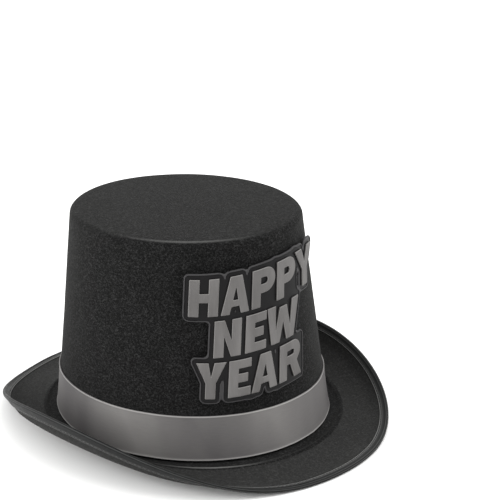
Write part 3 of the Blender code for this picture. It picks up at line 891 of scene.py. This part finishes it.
def makeBand():
    stand = hat["fit"] * wallShare
    outward = stand + bandSet["cloth"]
    section = []
    width, base, bead = bandSet["width"], bandBase, bandSet["bead"]
    edges, rings = bandSet["edgeLevels"], bandSet["rings"]
    levels = list(edges) + [width * ring / rings for ring in range(1, rings)]
    levels += [width - level for level in reversed(edges)]
    rolls = dict(zip(edges, bandSet["edgeRolls"]))
    highlights = []
    for level in levels:
        share = rolls.get(round(min(level, width - level), 4), 0.0)
        roll = share * bead
        # the bead is also painted lighter by the same share, a painted highlight along both edges
        highlights.append(share)
        height = base + level
        section.append((wallRadius(height) + outward + roll, height))
    section += [(wallRadius(base + level) + stand, base + level) for level in reversed(levels)]
    bm = turnBlank(section, bandSet["steps"], highlights)
    wrapUv(bm, bandSet["clothRadius"])

    def rule(angle, radius, height):
        level = (height - base) / width
        slack = noise.noise(Vector((math.sin(angle) * 3.2, math.cos(angle) * 3.2, level * 0.8)))
        gape = bandSet["gape"] * (1 + slack) * (2 * level - 1) ** 2
        swell = bandSet["swell"] * noise.noise(Vector((math.sin(angle) * 7, math.cos(angle) * 7, 4.0)))
        return onCrown(angle, radius + gape + swell, height)
    block(bm, rule)
    return finishPiece("band_ribbon", bm, ribbon, "ribbon")


bandPiece = makeBand()
girthRadius = wallRadius(bandBase + bandSet["girthUp"]) + bandSet["girthOut"]
bandLength = ringLength(lambda angle: onCrown(angle, girthRadius, 0.0))
standsFor(bandPiece, "band", "hat_band")


def makeTab():
    # a short length over the join, outside the band and a little past its two edges,
    # its top rounded, and a little pleated
    stand = hat["fit"] * wallShare * 2 + bandSet["cloth"]
    cloth, hem, rings = bandSet["cloth"], bandSet["tabHem"], bandSet["rings"]
    low, high = bandBase - 0.0002, bandBase + bandSet["width"] + hem
    section = []
    for step in range(rings + 1):
        height = low + (high - low) * step / rings
        section.append((wallRadius(height) + stand + cloth, height))
    section += arcPoints((wallRadius(high) + stand + cloth - hem, high), hem, 45, 135, 3)
    for step in range(rings, -1, -1):
        height = low + (high - low) * step / rings
        section.append((wallRadius(height) + stand, height))
    sweep = bandSet["tabWidth"] / hat["footRadius"]
    bm = turnBlank(section, 28, (), math.pi - sweep / 2, sweep)
    wrapUv(bm, bandSet["clothRadius"])

    def rule(angle, radius, height):
        share = (angle % fullTurn - math.pi) / sweep
        pleat = bandSet["tabPleat"] * (0.5 + 0.5 * math.cos(share * bandSet["tabPleats"] * fullTurn))
        pinch = 1 - bandSet["tabPinch"] * math.sin(math.pi * (height - low) / (high - low))
        return onCrown(math.pi + share * sweep * pinch, radius + pleat, height)
    block(bm, rule)
    return finishPiece("tab_ribbon", bm, ribbon, "ribbon")


tabPiece = makeTab()
standsFor(tabPiece, "band", "band_tab")

sweatSet = {
    "width": 0.032,
    "cloth": 0.0009,
    "seamUp": 0.003,
    "gape": 0.0009,
    "steps": 200,
    "rings": 14,
    "clothRadius": 0.092,
}


def makeSweatband():
    outside = -collarOut + hat["brimFelt"] / 2 + hat["fit"] * wallShare
    base = footHeight + hat["collarBend"]
    width, rings = sweatSet["width"], sweatSet["rings"]
    section = []
    for ring in range(rings + 1):
        height = base + width * ring / rings
        section.append((wallRadius(height) - outside, height))
    for ring in range(rings, -1, -1):
        height = base + width * ring / rings
        section.append((wallRadius(height) - outside - sweatSet["cloth"], height))
    bm = turnBlank(section, sweatSet["steps"])
    wrapUv(bm, sweatSet["clothRadius"])

    def rule(angle, radius, height):
        level = (height - base) / width
        slack = noise.noise(Vector((math.sin(angle) * 2.6, math.cos(angle) * 2.6, 2.0)))
        return onCrown(angle, radius - sweatSet["gape"] * (1 + slack) * level ** 2, height)
    block(bm, rule)
    return finishPiece("sweatband_tape", bm, sweatCloth, "ribbon"), outside, base


sweatPiece, sweatOutside, sweatBase = makeSweatband()
sweatHeight = sweatBase + sweatSet["seamUp"]
sweatRadius = wallRadius(sweatHeight) - sweatOutside - sweatSet["cloth"]
sweatStitches = sewRing("sweatband_stitches",
                        lambda angle: onCrown(angle, sweatRadius, sweatHeight),
                        lambda angle: -onCrown(angle, sweatRadius, 0.0))
sweatLength = ringLength(lambda angle: onCrown(angle, sweatRadius, sweatHeight))
standsFor(sweatPiece, "sweatband", "sweatband")
standsFor(sweatStitches, "sweatband")
print("bands made")

# Sign: a card backing and twelve foil-faced letters, bent to the crown's front
signSet = {
    "height": 0.0866,
    "turn": math.radians(-8.0),
    "standOff": 0.0012,
    "tighter": 0.0032,
    "rise": 0.078,
    "bow": 0.84,
    "sweep": -14.8,
    "board": 0.0014,
    "margin": 0.0037,
    "fillet": 0.0030,
    "letterBoard": 0.0007,
    "letterHeight": 0.0246,
    "stroke": 0.0066,
    "slant": 0.143,
    "rowGap": 0.0033,
    "middleRow": 0.0064,
    "rowStarts": (-0.0557, -0.0422, -0.0570),
    "cell": 0.0011,
    "slice": 0.0015,
    "bevel": 0.00050,
    "corner": 0.0004,
}
# The rim's section: how far in from the cut edge, and how far out of the board's back, in metres
rimProfile = ((0.0, 0.0007), (-0.0004, 0.0014), (-0.0009, 0.00145), (-0.0014, 0.0010))
rowPitch = signSet["letterHeight"] + signSet["rowGap"]
rowHeights = [signSet["middleRow"] + rowPitch * up for up in (1, 0, -1)]
signLean = math.atan(wallSlope)
signRadius = wallRadius(signSet["height"]) - signSet["tighter"]
letterFront = signSet["board"] + hat["fit"] + signSet["letterBoard"]


def onSign(place):
    upShift = (place.x * signSet["rise"] + signSet["bow"] * place.x ** 2
               + signSet["sweep"] * place.x ** 3)
    turned = place.x / (signRadius + letterFront)
    out = Vector((0, -math.cos(signLean), math.sin(signLean)))
    up = Vector((0, math.sin(signLean), math.cos(signLean)))
    front = wallRadius(signSet["height"]) + hat["oval"] + signSet["standOff"]
    centre = Vector((0, -front, signSet["height"])) - out * signRadius
    reach = signRadius + place.z
    point = centre + out * (reach * math.cos(turned)) + up * (place.y + upShift)
    point.x += reach * math.sin(turned)
    return Matrix.Rotation(signSet["turn"], 3, "Z") @ point


def letterH(width, height, stroke):
    low, high = height / 2 - stroke * 0.45, height / 2 + stroke * 0.45
    return [[(0, 0), (stroke, 0), (stroke, low), (width - stroke, low), (width - stroke, 0),
             (width, 0), (width, height), (width - stroke, height), (width - stroke, high),
             (stroke, high), (stroke, height), (0, height)]]


def letterA(width, height, stroke):
    apex, middle, foot = stroke * 0.62, width / 2, stroke * 0.88
    slope = (middle - apex) / height
    barLow, barHigh, peak = height * 0.20, height * 0.37, height * 0.71

    def leg(level):
        return foot + slope * level
    outer = [(0, 0), (foot, 0), (leg(barLow), barLow), (width - leg(barLow), barLow),
             (width - foot, 0), (width, 0), (middle + apex, height), (middle - apex, height)]
    hole = [(leg(barHigh), barHigh), (width - leg(barHigh), barHigh), (middle, peak)]
    return [outer, hole]


def bowl(width, height, stroke, low):
    radius = (height - low) / 2
    centre = (width - radius, height - radius)
    inner = radius - stroke * 0.86
    outer = arcPoints(centre, radius, -90, 90, 16)
    hole = [(stroke, centre[1] - inner)]
    hole += arcPoints((centre[0] - stroke * 0.1, centre[1]), inner, -90, 90, 12)
    hole.append((stroke, centre[1] + inner))
    return outer, hole


def letterP(width, height, stroke):
    low = height * 0.36
    outer, hole = bowl(width, height, stroke, low)
    return [[(0, 0), (stroke, 0), (stroke, low)] + outer + [(0, height)], hole]


def letterR(width, height, stroke):
    low, head = height * 0.40, width * 0.94
    outer, hole = bowl(head, height, stroke, low)
    leg = [(0, 0), (stroke, 0), (stroke, low), (width - stroke * 1.75, low),
           (width - stroke * 1.12, 0), (width, 0), (head - stroke * 0.55, low + stroke * 0.12)]
    return [leg + outer[6:] + [(0, height)], hole]


def letterY(width, height, stroke):
    left, right = (width - stroke) / 2, (width + stroke) / 2
    fork, notch = height * 0.44, height * 0.60
    return [[(left, 0), (right, 0), (right, fork), (width, height), (width - stroke * 1.2, height),
             (width / 2, notch), (stroke * 1.2, height), (0, height), (left, fork)]]


def letterN(width, height, stroke):
    return [[(0, 0), (stroke, 0), (stroke, height * 0.56), (width - stroke, 0), (width, 0),
             (width, height), (width - stroke, height), (width - stroke, height * 0.44),
             (stroke, height), (0, height)]]


def letterE(width, height, stroke):
    arm, short = stroke * 0.88, width * 0.86
    low, high = (height - arm) / 2, (height + arm) / 2
    return [[(0, 0), (width, 0), (width, arm), (stroke, arm), (stroke, low), (short, low),
             (short, high), (stroke, high), (stroke, height - arm), (width, height - arm),
             (width, height), (0, height)]]


def letterW(width, height, stroke):
    foot, left, right, middle = stroke * 1.05, width * 0.245, width * 0.695, width * 0.47
    peak, inner = height * 0.92, height * 0.34
    return [[(left - foot / 2, 0), (left + foot / 2, 0), (middle, height * 0.52),
             (right - foot / 2, 0), (right + foot / 2, 0), (width, height),
             (width - stroke * 1.05, height), (right, inner), (middle + stroke * 0.5, peak),
             (middle - stroke * 0.5, peak), (left, inner), (stroke * 1.05, height), (0, height)]]


# Each row: the letter's node, its outline, its width, the gap after it, and whether the backing
# fills its open sides
letterRows = (
    (("h", letterH, 0.0193, 0.0019, True), ("a", letterA, 0.0194, 0.0019, False),
     ("p1", letterP, 0.0184, 0.0018, True), ("p2", letterP, 0.0185, 0.0003, True),
     ("y", letterY, 0.0249, 0.0, False)),
    (("n", letterN, 0.0183, 0.0031, True), ("e", letterE, 0.0155, 0.0007, True),
     ("w", letterW, 0.0295, 0.0, False)),
    (("y", letterY, 0.0198, 0.0019, False), ("e", letterE, 0.0155, 0.0008, True),
     ("a", letterA, 0.0199, 0.0020, False), ("r", letterR, 0.0213, 0.0, True)),
)


def placed(outline, left, rowHeight):
    points = []
    for across, up in outline:
        level = up - signSet["letterHeight"] / 2
        points.append(Vector((left + across + signSet["slant"] * level, rowHeight + level, 0)))
    return points


def flatLoops():
    letters = []
    high = signSet["letterHeight"]
    for row, entries in enumerate(letterRows):
        left = signSet["rowStarts"][row]
        for name, shape, width, gap, filled in entries:
            loops = shape(width, high, signSet["stroke"])
            base = [(0, 0), (width, 0), (width, high), (0, high)] if filled else loops[0]
            flat = [placed(loop, left, rowHeights[row]) for loop in loops]
            letters.append((f"letter_row{row + 1}_{name}", flat,
                            placed(base, left, rowHeights[row])))
            left += width + gap
    return letters


def outlineDistance(point, outline):
    nearest, inside = 1.0, False
    for start, end in zip(outline, outline[1:] + outline[:1]):
        run = end - start
        share = min(1.0, max(0.0, (point - start).dot(run) / run.length_squared))
        nearest = min(nearest, (point - start - run * share).length)
        if (start.y > point.y) != (end.y > point.y):
            if point.x < start.x + (point.y - start.y) / run.y * run.x:
                inside = not inside
    return -nearest if inside else nearest


def backingField(point, outlines):
    # negative on the backing: the letters grown by the margin, with filleted notches
    field, fillet = 1.0, signSet["fillet"]
    for outline, low, high in outlines:
        away = max(low.x - point.x, point.x - high.x, low.y - point.y, point.y - high.y)
        if away - signSet["margin"] > field + fillet:
            continue
        other = outlineDistance(point, outline) - signSet["margin"]
        mix = max(0.0, fillet - abs(field - other)) / fillet
        field = min(field, other) - mix * mix * fillet / 4
    return field


def makeBacking(letters):
    outlines = []
    for _, _, outline in letters:
        low = Vector((min(p.x for p in outline), min(p.y for p in outline)))
        high = Vector((max(p.x for p in outline), max(p.y for p in outline)))
        outlines.append((outline, low, high))
    room = signSet["margin"] + signSet["fillet"]
    low = Vector((min(o[1].x for o in outlines) - room, min(o[1].y for o in outlines) - room))
    high = Vector((max(o[2].x for o in outlines) + room, max(o[2].y for o in outlines) + room))
    size = high - low
    bm = bmesh.new()
    field = bm.verts.layers.float.new("field")
    bmesh.ops.create_grid(bm, x_segments=math.ceil(size.x / signSet["cell"]),
                          y_segments=math.ceil(size.y / signSet["cell"]), size=0.5)
    for corner in bm.verts:
        corner.co.x = low.x + (corner.co.x + 0.5) * size.x
        corner.co.y = low.y + (corner.co.y + 0.5) * size.y
        corner[field] = backingField(corner.co, outlines)
    for level, _ in rimProfile:
        cut = []
        for edge in list(bm.edges):
            first, second = edge.verts
            before, after = first[field] - level, second[field] - level
            if before * after < 0:
                share = min(0.97, max(0.03, before / (before - after)))
                made = bmesh.utils.edge_split(edge, first, share)[1]
                made[field] = level
                cut.append(made)
        bmesh.ops.connect_verts(bm, verts=cut)
    outside = [face for face in bm.faces if sum(corner[field] for corner in face.verts) > tiny]
    bmesh.ops.delete(bm, geom=outside, context="FACES")
    extruded = bmesh.ops.extrude_face_region(bm, geom=list(bm.faces))
    front = [item for item in extruded["geom"] if isinstance(item, bmesh.types.BMVert)]
    for corner in front:
        inward = corner[field]
        height = rimProfile[-1][1]
        for (near, nearUp), (far, farUp) in zip(rimProfile, rimProfile[1:]):
            if far <= inward <= near:
                height = nearUp + (farUp - nearUp) * (inward - near) / (far - near)
                break
        corner.co.z = height
    # the raised rim's faces are painted lighter: the card's rim line, with a painted highlight on the
    # chamfer
    paintedHighlight = bm.faces.layers.float.new("paintedHighlight")
    for face in bm.faces:
        inward = sum(corner[field] for corner in face.verts) / len(face.verts)
        raised = min(corner.co.z for corner in face.verts) > 0.0002
        face[paintedHighlight] = 1.0 if raised and rimProfile[2][0] - 0.0001 < inward < -0.0001 else 0.0
    for corner in bm.verts:
        corner.co = onSign(corner.co)
    return finishPiece("sign_board", bm, board, "board")


def softCorners(loop, radius):
    # the die leaves each corner a small radius
    points = []
    for before, corner, after in zip(loop[-1:] + loop[:-1], loop, loop[1:] + loop[:1]):
        back, ahead = before - corner, after - corner
        room = min(radius, back.length * 0.3, ahead.length * 0.3)
        start, end = corner + back.normalized() * room, corner + ahead.normalized() * room
        for share in (0.0, 0.33, 0.67, 1.0):
            points.append(start * (1 - share) ** 2 + corner * (2 * share * (1 - share))
                          + end * share ** 2)
    return points


def makeLetter(name, loops):
    curve = bpy.data.curves.new(name, "CURVE")
    curve.dimensions = "2D"
    curve.fill_mode = "BOTH"
    bevel = signSet["bevel"]
    base = rimProfile[-1][1] - 0.00005
    depth = letterFront - base
    curve.extrude = depth / 2 - bevel
    curve.bevel_depth = bevel
    curve.bevel_resolution = 2
    curve.offset = -bevel
    for loop in loops:
        spline = curve.splines.new("POLY")
        points = softCorners(loop, signSet["corner"])
        spline.points.add(len(points) - 1)
        for point, place in zip(spline.points, points):
            point.co = (place.x, place.y, 0, 1)
        spline.use_cyclic_u = True
    holder = bpy.data.objects.new(name, curve)
    bpy.context.scene.collection.objects.link(holder)
    mesh = bpy.data.meshes.new_from_object(
        holder.evaluated_get(bpy.context.evaluated_depsgraph_get()))
    bpy.data.objects.remove(holder)
    bm = bmesh.new()
    bm.from_mesh(mesh)
    bpy.data.meshes.remove(mesh)
    bmesh.ops.remove_doubles(bm, verts=bm.verts, dist=tiny)
    low = min(corner.co.x for corner in bm.verts)
    high = max(corner.co.x for corner in bm.verts)
    for number in range(math.ceil(low / signSet["slice"]), math.floor(high / signSet["slice"]) + 1):
        geometry = list(bm.verts) + list(bm.edges) + list(bm.faces)
        bmesh.ops.bisect_plane(bm, geom=geometry, plane_co=(number * signSet["slice"], 0, 0),
                               plane_no=(1, 0, 0), dist=tiny)
    # the bevel's faces are painted lighter as a highlight
    paintedHighlight = bm.faces.layers.float.new("paintedHighlight")
    bm.normal_update()
    for face in bm.faces:
        face[paintedHighlight] = 1.0 if 0.1 < face.normal.z < 0.95 else 0.0
    for corner in bm.verts:
        corner.co = onSign(corner.co + Vector((0, 0, base + depth / 2)))
    return finishPiece("foil_" + name, bm, foil, "board")


letterLoops = flatLoops()
backingPiece = makeBacking(letterLoops)
standsFor(backingPiece, "sign_board", "sign_backing")
print("backing made")
for name, loops, _ in letterLoops:
    standsFor(makeLetter(name, loops), "letters", name)
print("letters made")

# Glue: dots squeezed out a little between the crown and the card
glueSet = {
    "radius": 0.0045,
    "fullness": 0.55,
    "lobes": 4,
    "places": ((-0.032, 0.034), (0.004, 0.034), (0.042, 0.036), (-0.034, -0.021), (0.0, -0.021)),
}


def crownDepth(place):
    start = onSign(place)
    inward = (onSign(place - Vector((0, 0, hat["fit"]))) - start).normalized()
    near, far = 0.0, hat["footRadius"] * 0.5
    while far - near > tiny:
        middle = (near + far) / 2
        point = start + inward * middle
        radius = wallRadius(point.z)
        across, along = point.x / (radius - hat["oval"]), point.y / (radius + hat["oval"])
        if across ** 2 + along ** 2 > 1:
            near = middle
        else:
            far = middle
    return near


def makeGlueDot(number, across, up):
    bm = bmesh.new()
    made = bmesh.ops.create_uvsphere(bm, u_segments=28, v_segments=14, radius=1.0)
    draw = random.Random(number)
    lopsided = [draw.uniform(0.90, 1.0) for _ in range(glueSet["lobes"])]
    for corner in made["verts"]:
        level = corner.co.z  # -1 at the crown, 1 at the card
        angle = math.atan2(corner.co.y, corner.co.x)
        flat = math.hypot(corner.co.x, corner.co.y) ** glueSet["fullness"]
        lobe = int((angle + math.pi) / fullTurn * glueSet["lobes"]) % glueSet["lobes"]
        wobble = lopsided[lobe] * 0.3 + 0.7
        reach = glueSet["radius"] * flat * wobble
        place = Vector((across + reach * math.cos(angle), up + reach * math.sin(angle), 0))
        depth = crownDepth(place)
        out = -depth * (0.5 - 0.5 * math.copysign(abs(level) ** 0.5, level))
        corner.co = onSign(place + Vector((0, 0, out)))
    return finishPiece(f"glue_dot_{number}", bm, glue, "round")


for number, (across, up) in enumerate(glueSet["places"], 1):
    standsFor(makeGlueDot(number, across, up), "glue", f"sign_glue_{number}")
print("glue made")

# Studio: a pale floor, a broad light overhead and one at each side
studioSet = {
    "floor": "fcfcfb",
    "world": "ffffff",
    "worldStrength": 1.2,
    "floorSize": 12.0,
    "floorDrop": 0.0002,
}


def makeStudio():
    bm = bmesh.new()
    bmesh.ops.create_grid(bm, x_segments=4, y_segments=4, size=studioSet["floorSize"] / 2)
    for corner in bm.verts:
        corner.co.z = -studioSet["floorDrop"]
    paper, tree, shader = newMaterial("matt studio paper", {"Roughness": 0.9})
    place = addNode(tree, "ShaderNodeTexCoord", {}, {}).outputs["Object"]
    pulp = addNode(tree, "ShaderNodeTexNoise", {}, {"Vector": place, "Scale": 30.0, "Detail": 4.0})
    tint = bandsOf(tree, pulp.outputs["Fac"], ((0.2, "fafaf9"), (0.8, studioSet["floor"])))
    tree.links.new(tint, shader.inputs["Base Color"])
    floor = finishPiece("studio_floor", bm, paper, "flat")
    world = bpy.data.worlds.new("studio")
    world.use_nodes = True
    background = world.node_tree.nodes["Background"]
    background.inputs["Color"].default_value = colour(studioSet["world"])
    background.inputs["Strength"].default_value = studioSet["worldStrength"]
    bpy.context.scene.world = world


# name, place, aimed at, size (wide, tall), watts
lampSet = (
    ("overhead", (0.25, -0.5, 1.5), (0, 0, 0.05), (1.0, 1.0), 6.5),
    ("left", (-1.2, 0.55, 0.55), (0, 0, 0.08), (0.7, 1.1), 12.0),
    ("right", (0.9, -0.7, 1.0), (0, 0, 0.05), (0.7, 0.8), 4.5),
)


def makeLamps():
    for name, place, aim, size, watts in lampSet:
        data = bpy.data.lights.new(name, "AREA")
        data.shape = "RECTANGLE"
        data.size, data.size_y = size
        data.energy = watts
        lamp = bpy.data.objects.new(name, data)
        lamp.location = place
        lamp.rotation_euler = (Vector(place) - Vector(aim)).to_track_quat("Z", "Y").to_euler()
        bpy.context.scene.collection.objects.link(lamp)


makeStudio()
makeLamps()
bpy.context.scene.view_settings.view_transform = "Standard"
print("studio made")
